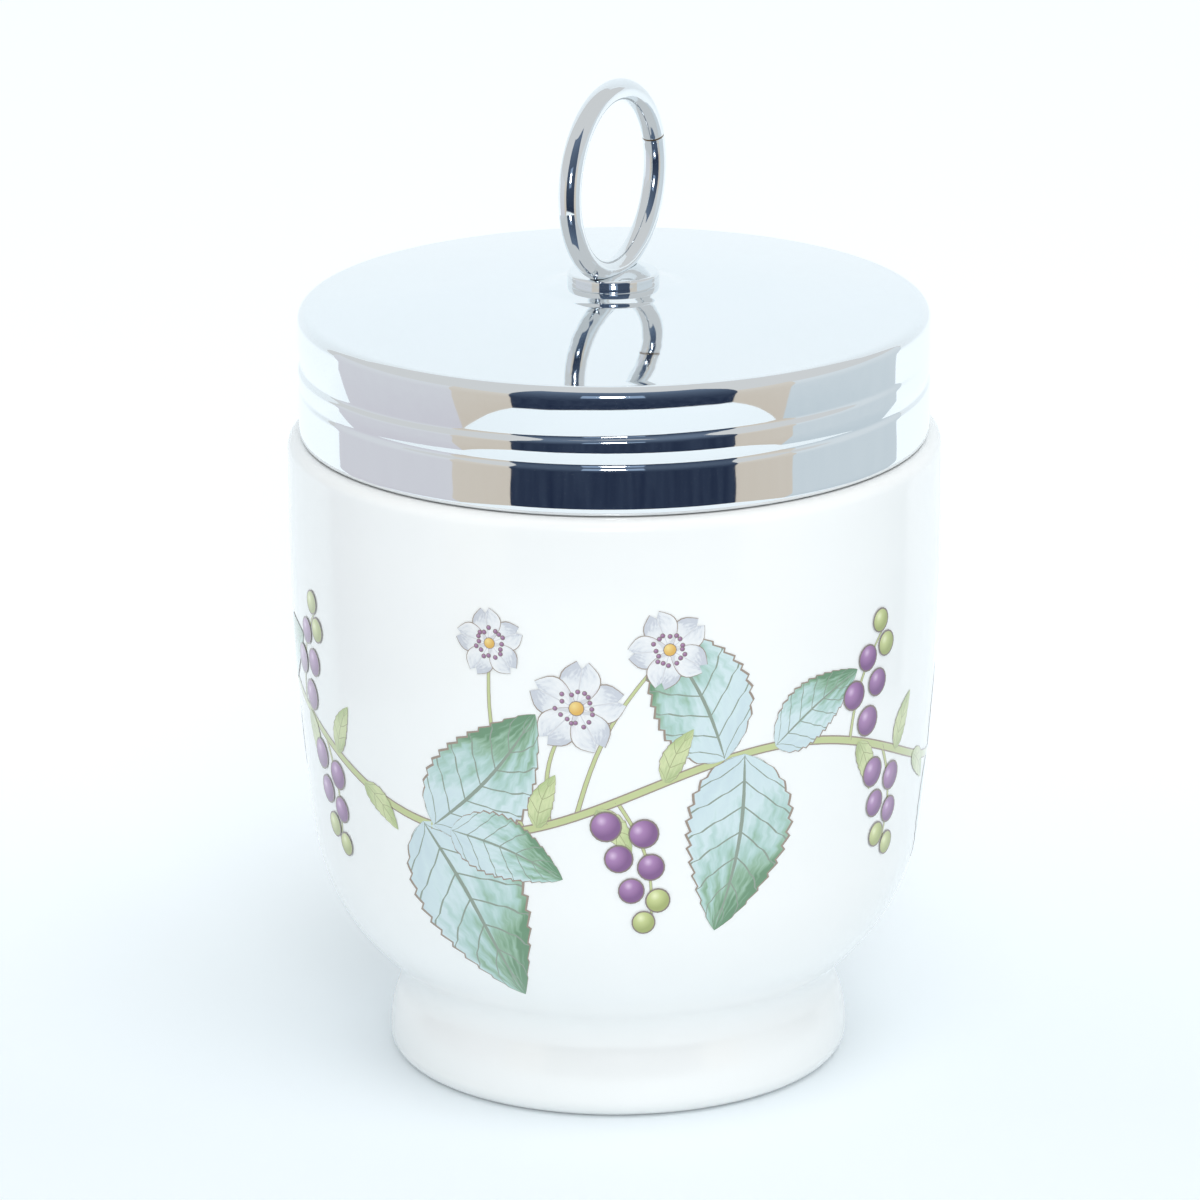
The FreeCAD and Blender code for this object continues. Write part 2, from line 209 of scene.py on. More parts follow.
def node(tree, kind, links=(), stops=(), **settings):
    """Add a node with its settings. A link is (input, node, output). A setting is a property, or
    an input's value under the input's label or as input_1 and so on. Stops fill a colour ramp."""
    made = tree.nodes.new(kind)
    for key, setting in settings.items():
        if hasattr(made, key):
            setattr(made, key, setting)
        elif key.startswith("input_"):
            made.inputs[int(key[6:])].default_value = setting
        else:
            label = key.replace("_", " ").lower()
            socket = next(entry for entry in made.inputs if entry.name.lower() == label)
            socket.default_value = setting
    for target, source, output in links:
        tree.links.new(source.outputs[output], made.inputs[target])
    for place, text in stops:
        band = made.color_ramp.elements
        stop = {0.0: band[0], 1.0: band[-1]}.get(place) or band.new(place)
        stop.color = colour(text)
    return made


def material(name):
    """A new material, its node tree and the Principled shader in it."""
    made = bpy.data.materials.new(name)
    made.use_nodes = True
    tree = made.node_tree
    return made, tree, tree.nodes["Principled BSDF"]


# %% [markdown]
# ## Glazed porcelain
# The cup is hard white porcelain under a clear glaze, fired hot enough to melt into one body. It
# looks milky, because a little light goes in and comes out again, and it has a wet, even gloss.
# A coat over a softer base gives that. A very faint cloudiness and a ripple a few millimetres
# long keep the highlights from looking machined.


# %% Porcelain
CLOUD = 11 * MM
RIPPLE = 4.2 * MM


def glazed_porcelain():
    """White body under a clear coat."""
    made, tree, shader = material("glazed_porcelain")
    place = node(tree, "ShaderNodeTexCoord")
    cloud = node(tree, "ShaderNodeTexNoise", [("Vector", place, "Object")], Scale=1 / CLOUD,
                 Detail=2)
    tint = node(tree, "ShaderNodeValToRGB", [("Fac", cloud, "Fac")],
                ((0.0, "#F8FAF9"), (1.0, "#FCFDFC")))
    tree.links.new(tint.outputs["Color"], shader.inputs["Base Color"])
    ripple = node(tree, "ShaderNodeTexNoise", [("Vector", place, "Object")], Scale=1 / RIPPLE,
                  Detail=1)
    bump = node(tree, "ShaderNodeBump", [("Height", ripple, "Fac")], Strength=0.03,
                Distance=0.005 * MM)
    tree.links.new(bump.outputs["Normal"], shader.inputs["Coat Normal"])
    shader.inputs["Roughness"].default_value = 0.3
    shader.inputs["IOR"].default_value = 1.5
    shader.inputs["Coat Weight"].default_value = 1.0
    shader.inputs["Coat Roughness"].default_value = 0.12
    shader.inputs["Subsurface Weight"].default_value = 0.15
    shader.inputs["Subsurface Radius"].default_value = (1, 1, 1)
    shader.inputs["Subsurface Scale"].default_value = 1.0 * MM
    return made


porcelain = glazed_porcelain()
print("body and glaze:", porcelain.name)

# %% [markdown]
# ## Chrome plate
# The cap and the ring are pressed and drawn metal with a bright chrome plate, polished like a
# mirror. Chrome is a little bluish. Handling leaves hairlines too fine to see one by one, which
# only spread the reflections slightly, so a fine noise varies the roughness. Pressing and bending
# leave the surface uneven by a few thousandths of a millimetre, which makes reflected edges waver.
# That is too little for geometry, so a bump does it.


# %% Chrome
HANDLING = 1.4 * MM
HAZE = 17 * MM
CAP_DENTS, WIRE_DENTS = 6.7 * MM, 2.4 * MM


def chrome_plate(name, base, polished, worn, dents):
    """Bright plate whose roughness goes from polished to worn, over dents of this size."""
    made, tree, shader = material(name)
    place = node(tree, "ShaderNodeTexCoord")
    marks = node(tree, "ShaderNodeTexNoise", [("Vector", place, "Object")], Scale=1 / HANDLING,
                 Detail=6)
    spread = node(tree, "ShaderNodeMapRange", [("Value", marks, "Fac")], To_Min=polished,
                  To_Max=worn)
    haze = node(tree, "ShaderNodeTexNoise", [("Vector", place, "Object")], Scale=1 / HAZE,
                Detail=3)
    tint = node(tree, "ShaderNodeValToRGB", [("Fac", haze, "Fac")],
                ((0.0, base), (1.0, "#F2F5F7")))
    tree.links.new(tint.outputs["Color"], shader.inputs["Base Color"])
    tree.links.new(spread.outputs["Result"], shader.inputs["Roughness"])
    uneven = node(tree, "ShaderNodeTexNoise", [("Vector", place, "Object")], Scale=1 / dents,
                  Detail=2)
    bump = node(tree, "ShaderNodeBump", [("Height", uneven, "Fac")], Strength=1.0,
                Distance=0.03 * MM)
    tree.links.new(bump.outputs["Normal"], shader.inputs["Normal"])
    shader.inputs["Metallic"].default_value = 1.0
    return made


chrome = chrome_plate("chrome_plate", "#EEF2F4", 0.02, 0.06, CAP_DENTS)
wire_chrome = chrome_plate("chromed_wire", "#E4E9EC", 0.03, 0.09, WIRE_DENTS)
print("chrome:", chrome.name, wire_chrome.name)

# %% [markdown]
# ## Plain metals
# Two places have no bright plate. The ring's ends are brazed together, and the joint has
# tarnished to a dull brown. The washer inside the cap is plain rolled steel. Both are grainy and
# much rougher than the chrome, so one function with two colours does for both. The washer has no
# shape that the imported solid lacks, so that solid is shown as it is, with the steel on it.


# %% Tarnished seam and washer steel
GRAIN = 1.1 * MM


def plain_metal(name, low, high, roughness):
    """Unplated metal with a grain that runs between two colours."""
    made, tree, shader = material(name)
    place = node(tree, "ShaderNodeTexCoord")
    grain = node(tree, "ShaderNodeTexNoise", [("Vector", place, "Object")], Scale=1 / GRAIN,
                 Detail=5)
    tint = node(tree, "ShaderNodeValToRGB", [("Fac", grain, "Fac")], ((0.0, low), (1.0, high)))
    tree.links.new(tint.outputs["Color"], shader.inputs["Base Color"])
    shader.inputs["Metallic"].default_value = 1.0
    shader.inputs["Roughness"].default_value = roughness
    return made


seam_metal = plain_metal("tarnished_seam", "#5A4A3A", "#9C8468", 0.45)
washer_metal = plain_metal("brushed_washer_steel", "#8C9093", "#B4B8BA", 0.35)
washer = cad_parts["rivet_washer"]
washer.data.materials.clear()
washer.data.materials.append(washer_metal)
print("washer:", len(washer.data.polygons), "faces, in", washer_metal.name)

# %% [markdown]
# ## The cup
# The side is one chain of tangent arcs: a rounded foot, a pinched waist, a bowl and an almost
# upright wall, cast in a plaster mould. Each arc has a radius and the degrees that it turns by,
# and the last one ends upright. Points measured in the photograph would give the same line, but
# with bumps where the arcs meet. The neck above the ledge carries a rounded thread.

# %% The cup's side
FLANK = (10.96 * MM, 21.9)
WAIST = (4.05 * MM, -71.05)
BOWL = (21.14 * MM, 42.1)
WALL = (280 * MM, -(FLANK[1] + WAIST[1] + BOWL[1]))
TOE = 2 * MM
FOOT_WIDEST = 2.5 * MM


def cup_side(foot_radius):
    """The outside of the cup from the foot's widest place to the top of its wall."""
    side, heading = [(foot_radius, FOOT_WIDEST)], 90
    for (radius, degrees), steps in ((FLANK, 10), (WAIST, 18), (BOWL, 22), (WALL, 34)):
        heading = bend_on(side, heading, radius, degrees, steps)
    return side


FOOT_RADIUS = WALL_RADIUS - cup_side(0)[-1][0]
side = cup_side(FOOT_RADIUS)
print(f"foot {2 * FOOT_RADIUS / MM:.2f} mm across, wall ends {side[-1][1] / MM:.2f} mm up")

# %% [markdown]
# ## The screw thread
# Two helices with the same lead shape the cap's rolled groove and the thread on the neck, which
# lies half a lead higher. A fade at both ends makes the run-outs, and the roller takes hold
# before it starts to climb, so each helix starts level. A swept tube could be joined on instead,
# but moving the turned surface itself in or out leaves no seam.

# %% Thread
LEAD = 3 * MM
LEVEL_UNTIL = 20
GROOVE_UP = 4.3 * MM
GROOVE = {"start": -110, "turn": 553, "runout": 62, "height": CAP_EDGE + GROOVE_UP}
RIDGE = {"start": -12, "turn": 430, "runout": 40, "height": GROOVE["height"] + LEAD / 2}


def smooth(share):
    """Ease a share between 0 and 1."""
    share = min(max(share, 0), 1)
    return share * share * (3 - 2 * share)


def turns(helix, angle):
    """The height of each turn of a helix at this angle, its fade and its place along the helix."""
    for lap in (-1, 0, 1, 2):
        degrees = math.degrees(angle) + 360 * lap
        into = min(degrees - helix["start"], helix["start"] + helix["turn"] - degrees)
        if into > 0:
            climb = LEAD * max(degrees, LEVEL_UNTIL) / 360
            yield helix["height"] + climb, smooth(into / helix["runout"]), degrees


print(f"thread climbs {LEAD / MM:.1f} mm in a turn, over {RIDGE['turn'] / 360:.1f} turns")

# %% [markdown]
# ## The cup's section
# One closed line gives the whole cup: the hollow under the foot, the outside, the shoulder under
# the cap, the neck and lip, and the round-bottomed hollow for the eggs. The glaze is wiped from
# the foot's narrow flat land before firing, so that the cup doesn't stick to the kiln's shelf.

# %% Cup sizes
NECK = CAP_RADIUS - 1.7 * MM
MOUTH = NECK - 2.6 * MM
HOLLOW = MOUTH + 1.1 * MM
FLOOR = 9.8 * MM
RECESS = 5.4 * MM
FOOT_LAND = 2.05 * MM
FOOT_INNER = FOOT_RADIUS - TOE - FOOT_LAND
HEEL = 0.9 * MM
RECESS_ROUND = 1.4 * MM
NECK_ROOT = 0.5 * MM
HOLLOW_START = LEDGE + 1.1 * MM
HOLLOW_FULL = LEDGE - 7.9 * MM
SHOULDER = 1.3 * MM
LIP_ROUND = 0.9 * MM
BOWL_INSIDE = 14.3 * MM
RIDGE_HEIGHT = 0.95 * MM
RIDGE_HALF_WIDTH = 1.0 * MM
print(f"neck {2 * NECK / MM:.1f} mm across, mouth {2 * MOUTH / MM:.1f} mm across")

# %% Cup outline
outline = [(0, RECESS)]
outline += line(outline[-1], (FOOT_INNER - HEEL - RECESS_ROUND, RECESS), 3 * MM)
outline += arc(outline[-1], (FOOT_INNER - HEEL, RECESS - RECESS_ROUND), RECESS_ROUND, -1, 8)
outline += line(outline[-1], (FOOT_INNER - HEEL, HEEL), 2 * MM)
outline += arc(outline[-1], (FOOT_INNER, 0), HEEL, 1, 6)
outline += line(outline[-1], (FOOT_RADIUS - TOE, 0), MM)
outline += arc(outline[-1], (FOOT_RADIUS, TOE), TOE, 1, 12)
outline += side
outline += line(outline[-1], (WALL_RADIUS, LEDGE - SHOULDER), 1.5 * MM)
outline += arc(outline[-1], (WALL_RADIUS - SHOULDER, LEDGE), SHOULDER, 1, 10)
outline += line(outline[-1], (NECK + NECK_ROOT, LEDGE), 0.5 * MM)
outline += arc(outline[-1], (NECK, LEDGE + NECK_ROOT), NECK_ROOT, -1, 5)
outline += line(outline[-1], (NECK, LIP - LIP_ROUND), 0.12 * MM)
outline += arc(outline[-1], (NECK - LIP_ROUND, LIP), LIP_ROUND, 1, 8)
outline += line(outline[-1], (MOUTH + LIP_ROUND, LIP), 0.5 * MM)
outline += arc(outline[-1], (MOUTH, LIP - LIP_ROUND), LIP_ROUND, 1, 8)
outline += line(outline[-1], (MOUTH, HOLLOW_START), 3 * MM)
outline += line(outline[-1], (HOLLOW, HOLLOW_FULL), 2 * MM)
outline += line(outline[-1], (HOLLOW, FLOOR + BOWL_INSIDE), 4 * MM)
outline += arc(outline[-1], (HOLLOW - BOWL_INSIDE, FLOOR), BOWL_INSIDE, -1, 20)
outline += line(outline[-1], (0, FLOOR), 3 * MM)


def neck_shape(angle, radius, height):
    """Raise the thread on the outside of the neck."""
    if abs(radius - NECK) > 1e-7 or height < LEDGE:
        return radius, height
    rise = 0
    for middle, fade, _ in turns(RIDGE, angle):
        away = min(abs(height - middle) / RIDGE_HALF_WIDTH, 1)
        rise = max(rise, RIDGE_HEIGHT * fade * (0.5 + 0.5 * math.cos(math.pi * away)))
    return radius + rise, height


cup = lathe("glazed_cup", outline, porcelain, shape=neck_shape)
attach(cup, "cup")
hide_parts("porcelain_cup")

# %% [markdown]
# ## The printed garland
# The cup is decorated with a print that is laid on the glaze and fired in. The design here is a
# plain garland of this part's own: a waving stem with toothed leaves, five-petalled flowers and
# round currants, in soft blues, greens and purples. It could be painted in the porcelain's
# material, but each motif is easier to draw as a thin flat patch with its own coordinates,
# wrapped on the wall a few hundredths of a millimetre proud, as a real transfer is.

# %% Wrap a flat drawing on the wall
wall_line = side + [(WALL_RADIUS, LEDGE - SHOULDER)]


def wall_radius(height):
    """The outside radius of the cup at a height."""
    for (near, low), (far, high) in zip(wall_line, wall_line[1:]):
        if low <= height <= high:
            return near + (far - near) * (height - low) / max(high - low, 1e-9)
    return WALL_RADIUS


patches = {}
FILM = 0.02 * MM
LAYER = 0.004 * MM
STEM_LAYER, LEAF_LAYER, SMALL_LEAF_LAYER = 1, 1, 7
PETAL_LAYER, ANTHER_LAYER, EYE_LAYER, CURRANT_LAYER = 8, 13, 14, 15


def add_patch(kind, layer, rows, place=(0, 0), turn=0):
    """Wrap rows of (along, across, u, v) points, in millimetres, round the wall. A patch on a
    higher layer lies over one on a lower layer."""
    store = patches.setdefault(kind, {"vertices": [], "faces": [], "coordinates": []})
    lift = FILM + LAYER * layer
    first = len(store["vertices"])
    cosine, sine = math.cos(math.radians(turn)), math.sin(math.radians(turn))
    for row in rows:
        for x, y, u, v in row:
            along = place[0] + x * cosine - y * sine
            height = (place[1] + x * sine + y * cosine) * MM
            angle = along * MM / WALL_RADIUS
            radius = wall_radius(height) + lift
            store["vertices"].append((radius * math.sin(angle), -radius * math.cos(angle), height))
            store["coordinates"].append((u, v))
    wide = len(rows[0])
    for row in range(len(rows) - 1):
        for column in range(wide - 1):
            corner = first + row * wide + column
            store["faces"].append((corner, corner + 1, corner + wide + 1, corner + wide))


# %% [markdown]
# ## The motifs
# Each motif is drawn flat, in millimetres, as rows of points from one side to the other. Its two
# extra coordinates run from stalk to tip and from edge to edge, and the inks use them. Formulas
# make the outlines, so a leaf can have any size and number of teeth.


# %% Leaves and petals
def leaf(length, width, teeth, bow=0.0, belly=0.72, blunt=0.8, tooth=0.13):
    """A pointed oval with a toothed edge, along x from its stalk."""
    rows, steps = [], teeth * 4
    for step in range(steps + 1):
        along = step / steps
        half = width / 2 * math.sin(math.pi * along ** belly) ** blunt
        past_tooth = (along * teeth) % 1
        edge = half * (1 + tooth * (1 - past_tooth)) if 0.03 < along < 0.98 else half
        rows.append([(length * along, edge * across + bow * math.sin(math.pi * along), along,
                      across) for across in (place / 7 for place in range(-7, 8))])
    return rows


def petal(length, width, belly=1.35, blunt=0.6, notch=0.16):
    """A broad petal with a notched end."""
    rows = []
    for step in range(11):
        along = step / 10
        half = width / 2 * math.sin(math.pi * min(along, 0.97) ** belly) ** blunt
        rows.append([((along - notch * along * (1 - abs(across))) * length, half * across, along,
                      across) for across in (-1, -0.5, 0, 0.5, 1)])
    return rows


# %% Discs and stalks
def disc(radius, rings=3, around=18):
    """A round spot. Its coordinates run from -1 to 1 across it."""
    rows = []
    for share in (ring / rings for ring in range(rings + 1)):
        circle = [(share * math.cos(angle), share * math.sin(angle))
                  for angle in (2 * math.pi * step / around for step in range(around + 1))]
        rows.append([(radius * across, radius * up, across, up) for across, up in circle])
    return rows


def stalk(points, start_width, end_width):
    """A tapering ribbon along a smooth line through points."""
    rows, count = [], len(points) - 1
    for step in range(count + 1):
        here = Vector(points[step])
        ahead = Vector(points[min(step + 1, count)]) - Vector(points[max(step - 1, 0)])
        aside = Vector((-ahead.y, ahead.x)).normalized()
        half = (start_width + (end_width - start_width) * step / count) / 2
        rows.append([(*(here + aside * half * across), step / 3, across)
                     for across in (-1, 0, 1)])
    return rows


def bow_between(start, end, sag, steps=12):
    """Points on a shallow bow from start to end."""
    start, end = Vector(start), Vector(end)
    aside = Vector((start.y - end.y, end.x - start.x)).normalized()
    return [tuple(start.lerp(end, step / steps)
                  + aside * sag * math.sin(math.pi * step / steps))
            for step in range(steps + 1)]


# %% [markdown]
# ## The garland's parts
# A flower is five petals that overlap, each on a layer of its own, with a loose ring of anthers.
# A truss of currants hangs or stands on a bowed stalk and ripens from its foot. The small shifts
# come from a random source with a fixed start, so that every run draws the same garland.

# %% Flowers and trusses
PETALS = 5
ANTHERS = 16
chance = random.Random(7)


def branch(start, end, sag, width=0.55):
    """A thin stalk, under everything else."""
    add_patch("stalks", 0, stalk(bow_between(start, end, sag), width, width * 0.6))


def flower(place, across, turn):
    """Petals, a loose ring of anthers and an eye."""
    for number in range(PETALS):
        add_patch("petals", PETAL_LAYER + number, petal(across * 0.52, across * 0.44),
                  place, turn + 360 / PETALS * number)
    for number in range(ANTHERS):
        angle = 2 * math.pi * number / ANTHERS + chance.uniform(-0.1, 0.1)
        reach = across * chance.uniform(0.15, 0.23)
        spot = (place[0] + reach * math.cos(angle), place[1] + reach * math.sin(angle))
        add_patch("anthers", ANTHER_LAYER, disc(0.26, 1, 10), spot)
    add_patch("flower_eyes", EYE_LAYER, disc(across * 0.085, 2, 12), place)


def truss(start, reach, turn, count):
    """A bowed stalk with currants on both sides, riper near its foot."""
    way = Vector((math.cos(math.radians(turn)), math.sin(math.radians(turn))))
    aside = Vector((-way.y, way.x))
    branch(start, tuple(Vector(start) + way * reach), 1.2, 0.45)
    for number in range(count):
        share = (number + 1.2) / count
        swing = (1 if number % 2 else -1) * (2.0 - 1.0 * share)
        spot = Vector(start) + way * reach * share + aside * swing
        kind = "ripe_currants" if number < count * 0.6 else "green_currants"
        add_patch(kind, CURRANT_LAYER + number, disc(1.75 - 0.45 * share), tuple(spot),
                  chance.uniform(-20, 20))


# %% [markdown]
# ## The layout
# The main stem waves round the cup and closes on itself, because a whole number of repeats goes
# round. In each repeat the motifs have a share of the stem as their foot, chosen so that
# flowers stand above it and fruit hangs below.

# %% Lay the garland out
GARLAND_HEIGHT = 37.0
GARLAND_WAVE = 4.5
REPEATS = 3
FIRST_REPEAT = -0.36
STEM_WIDTH = 0.95
UNIT = 2 * math.pi * WALL_RADIUS / MM / REPEATS


def unit_of_garland(first):
    """One repeat: large leaves, small leaves, a spray of flowers and trusses of currants."""
    def on_stem(share):
        along = first + UNIT * share
        return along, GARLAND_HEIGHT + GARLAND_WAVE * math.sin(2 * math.pi * along / UNIT)

    stem = [on_stem(step / 60) for step in range(61)]
    add_patch("stalks", STEM_LAYER, stalk(stem, STEM_WIDTH, STEM_WIDTH))
    for number, (share, turn, length, width, bow) in enumerate((
            (0.05, -62, 21, 12.5, 1.2), (0.07, 48, 18, 10, -1.0), (0.10, -18, 13, 6.5, 0.8),
            (0.52, 118, 17, 9.5, -1.0), (0.55, -98, 19, 11, 1.0), (0.60, 30, 12, 6, 0.6))):
        add_patch("leaves", LEAF_LAYER + number, leaf(length, width, 13, bow), on_stem(share), turn)
    for share, turn in ((0.24, 70), (0.33, -55), (0.43, 62), (0.76, -68), (0.86, 64), (0.93, -40)):
        add_patch("small_leaves", SMALL_LEAF_LAYER, leaf(6.2, 2.4, 7, 0.4), on_stem(share), turn)
    for share, rise, shift, across, turn in ((0.26, 12.5, 3.0, 9.5, 10), (0.30, 17.5, 9.5, 8.0, 40),
                                             (0.22, 19.5, -3.0, 7.0, 25)):
        foot = on_stem(share)
        head = (foot[0] + shift, foot[1] + rise)
        branch(foot, head, 1.4)
        flower(head, across, turn)
    for share, reach, turn, count in ((0.36, 13, -74, 7), (0.74, 12, 66, 6), (0.82, 11, -82, 6)):
        truss(on_stem(share), reach, turn, count)


for number in range(REPEATS):
    unit_of_garland(UNIT * (number + FIRST_REPEAT))
print("faces of the print:", {kind: len(store["faces"]) for kind, store in patches.items()})

# %% [markdown]
# ## Inks of the print
# Ceramic inks are finely ground enamel colours, thin enough to let the white through, drawn with
# a brown outline and fired until they are as glossy as the glaze. A painted picture would do for
# them, but each motif carries flat coordinates, so the gradient, the veins and the outline can
# all be worked out from those and stay sharp at any distance.

# %% A glossy ink
OUTLINE_INK = "#9A8A7C"
ROUND_OUTLINE_INK = "#83746F"


def ink(name, colour_it):
    """A material with the cup's gloss, coloured by what colour_it builds from the coordinates."""
    made, tree, shader = material(name)
    place = node(tree, "ShaderNodeUVMap", uv_map="print")
    parts = node(tree, "ShaderNodeSeparateXYZ", [("Vector", place, "UV")])
    shaded = colour_it(tree, place, parts)
    tree.links.new(shaded.outputs[0], shader.inputs["Base Color"])
    shader.inputs["Roughness"].default_value = 0.3
    shader.inputs["Coat Weight"].default_value = 1.0
    shader.inputs["Coat Roughness"].default_value = 0.06
    return made


def edge_mask(tree, parts, width):
    """One within this width of either edge, and zero between."""
    away = node(tree, "ShaderNodeMath", [(0, parts, "Y")], operation="ABSOLUTE")
    return node(tree, "ShaderNodeMath", [(0, away, 0)], operation="GREATER_THAN",
                input_1=1 - width)


# %% [markdown]
# ## Leaf, fruit and stalk inks
# A leaf goes from pale blue at its stalk to green at its tip, a little darker on one side, with a
# midrib and slanting veins. A currant or an anther is lit from the upper left and has a dark rim.
# A stalk is one flat colour between two outlines. Each returns the function that builds its
# nodes, so that one table can name all the inks.


# %% Ways to colour an ink
def leaf_ink(*stops, veins=7.0, vein_text="#8C9A8C"):
    """Tones that change from stalk to tip and from side to side, with veins and an outline."""
    def colour_it(tree, place, parts):
        grain = node(tree, "ShaderNodeTexNoise", [("Vector", place, "UV")], Scale=5, Detail=3)
        along = node(tree, "ShaderNodeMath", [(0, grain, "Fac"), (1, parts, "X")], operation="ADD")
        shift = node(tree, "ShaderNodeMath", [(0, along, 0)], operation="SUBTRACT", input_1=0.45)
        tone = node(tree, "ShaderNodeMath", [(0, parts, "Y"), (2, shift, 0)],
                    operation="MULTIPLY_ADD", input_1=0.22)
        base = node(tree, "ShaderNodeValToRGB", [("Fac", tone, 0)], stops)
        away = node(tree, "ShaderNodeMath", [(0, parts, "Y")], operation="ABSOLUTE")
        slant = node(tree, "ShaderNodeMath", [(0, away, 0), (2, parts, "X")],
                     operation="MULTIPLY_ADD", input_1=-0.2)
        phase = node(tree, "ShaderNodeMath", [(0, slant, 0)], operation="MULTIPLY", input_1=veins)
        cycle = node(tree, "ShaderNodeMath", [(0, phase, 0)], operation="FRACT")
        vein = node(tree, "ShaderNodeMath", [(0, cycle, 0)], operation="LESS_THAN", input_1=0.07)
        midrib = node(tree, "ShaderNodeMath", [(0, away, 0)], operation="LESS_THAN",
                      input_1=0.035)
        lines = node(tree, "ShaderNodeMath", [(0, vein, 0), (1, midrib, 0)], operation="MAXIMUM")
        veined = node(tree, "ShaderNodeMixRGB", [("Fac", lines, 0), ("Color1", base, 0)],
                      Color2=colour(vein_text))
        return node(tree, "ShaderNodeMixRGB",
                    [("Fac", edge_mask(tree, parts, 0.05), 0), ("Color1", veined, 0)],
                    Color2=colour(OUTLINE_INK))
    return colour_it


def round_ink(*stops, rim=0.12):
    """Shade a disc from a bright spot at its upper left out to a dark outline."""
    def colour_it(tree, place, parts):
        shift = node(tree, "ShaderNodeVectorMath", [(0, place, "UV")], operation="DISTANCE",
                     input_1=(-0.3, 0.35, 0))
        base = node(tree, "ShaderNodeValToRGB", [("Fac", shift, "Value")], stops)
        radius = node(tree, "ShaderNodeVectorMath", [(0, place, "UV")], operation="LENGTH")
        mask = node(tree, "ShaderNodeMath", [(0, radius, "Value")], operation="GREATER_THAN",
                    input_1=1 - rim)
        return node(tree, "ShaderNodeMixRGB", [("Fac", mask, 0), ("Color1", base, 0)],
                    Color2=colour(ROUND_OUTLINE_INK))
    return colour_it


def stalk_ink(text):
    """One colour between two outlines."""
    def colour_it(tree, place, parts):
        return node(tree, "ShaderNodeMixRGB", [("Fac", edge_mask(tree, parts, 0.3), 0)],
                    Color1=colour(text), Color2=colour(OUTLINE_INK))
    return colour_it


# %% Ink the patches
INKS = {
    "leaves": leaf_ink((0.0, "#CADDE3"), (0.35, "#D2E5E8"), (0.62, "#AECFC8"), (0.82, "#8FB498"),
                       (1.0, "#64906D")),
    "small_leaves": leaf_ink((0.0, "#AEBF86"), (0.5, "#D3DCA8"), (1.0, "#B3C588"), veins=4.0,
                             vein_text="#A5AC7C"),
    "petals": leaf_ink((0.0, "#D9D6DC"), (0.4, "#F0F1F2"), (0.8, "#E3E6EA"), (1.0, "#C9CDD6"),
                       veins=0.5, vein_text="#D5D6DA"),
    "stalks": stalk_ink("#C3CD92"),
    "flower_eyes": round_ink((0.0, "#F3D98A"), (1.0, "#E0B04E")),
    "anthers": round_ink((0.0, "#B58AB0"), (1.0, "#8A5B86"), rim=0.3),
    "ripe_currants": round_ink((0.0, "#D9BBDD"), (0.35, "#A87BB0"), (1.0, "#7C4E86")),
    "green_currants": round_ink((0.0, "#EEF3C4"), (0.4, "#C9D28E"), (1.0, "#A3AE68")),
}

for kind, store in patches.items():
    finish = ink(f"{kind}_ink", INKS[kind])
    piece = new_piece(f"printed_{kind}", store["vertices"], store["faces"], finish)
    flat = piece.data.uv_layers.new(name="print")
    for loop in piece.data.loops:
        flat.data[loop.index].uv = store["coordinates"][loop.vertex_index]
    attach(piece, "cup")
    print(piece.name, len(piece.data.polygons), "faces")

# %% [markdown]
# ## The screw cap
# The cap is pressed from thin sheet. Its top swells, a raised seat carries the ring, and a roller
# pushed the thread into the side as one spiral groove. Going down, the side leans in slowly and
# then steps out again below a sharp crease, so that two pale strips lie between darker ones. The
# sheet's inside follows its outside, so the groove shows as a bead within.

# %% Cap sizes
SHEET = 0.4 * MM
CORNER = 1.2 * MM
RISE = 2.0 * MM
SEAT_RADIUS = 4.9 * MM
SEAT_FOOT_RADIUS = 8.0 * MM
CREASE = 0.8 * MM
CREASE_DEPTH = 0.36 * MM
LOWER_DEPTH = 0.2 * MM
LONG_TAPER = 3.4 * MM
SHORT_TAPER = 1.3 * MM
STEP_OUT = 0.65 * MM
CURL = 0.8 * MM
CURL_DEPTH = 0.18 * MM
LEAN = 1.7
UPPER_STARTS, UPPER_BLEND = 200, 120
HOLE = 1.62 * MM
TOP_RADIUS = CAP_RADIUS - CORNER
SIDE_TOP = CAP_TOP - CORNER
INSIDE = CAP_RADIUS - SHEET
DOME = (TOP_RADIUS ** 2 + RISE ** 2) / (2 * RISE)
SEAT_FOOT = CAP_TOP + RISE * (1 - (SEAT_FOOT_RADIUS / TOP_RADIUS) ** 2)
SEAT_MIDDLE = ((SEAT_RADIUS + SEAT_FOOT_RADIUS) / 2, (SEAT + SEAT_FOOT) / 2)
half_width, half_drop = (SEAT_FOOT_RADIUS - SEAT_RADIUS) / 2, (SEAT - SEAT_FOOT) / 2
SEAT_CURVE = (half_width ** 2 + half_drop ** 2) / (2 * half_drop)
print(f"cap's top swells {RISE / MM:.1f} mm, with a radius of {DOME / MM:.0f} mm")


# %% Cap outline
def lowered(point):
    """The same place on the underside of the sheet."""
    return point[0], point[1] - SHEET


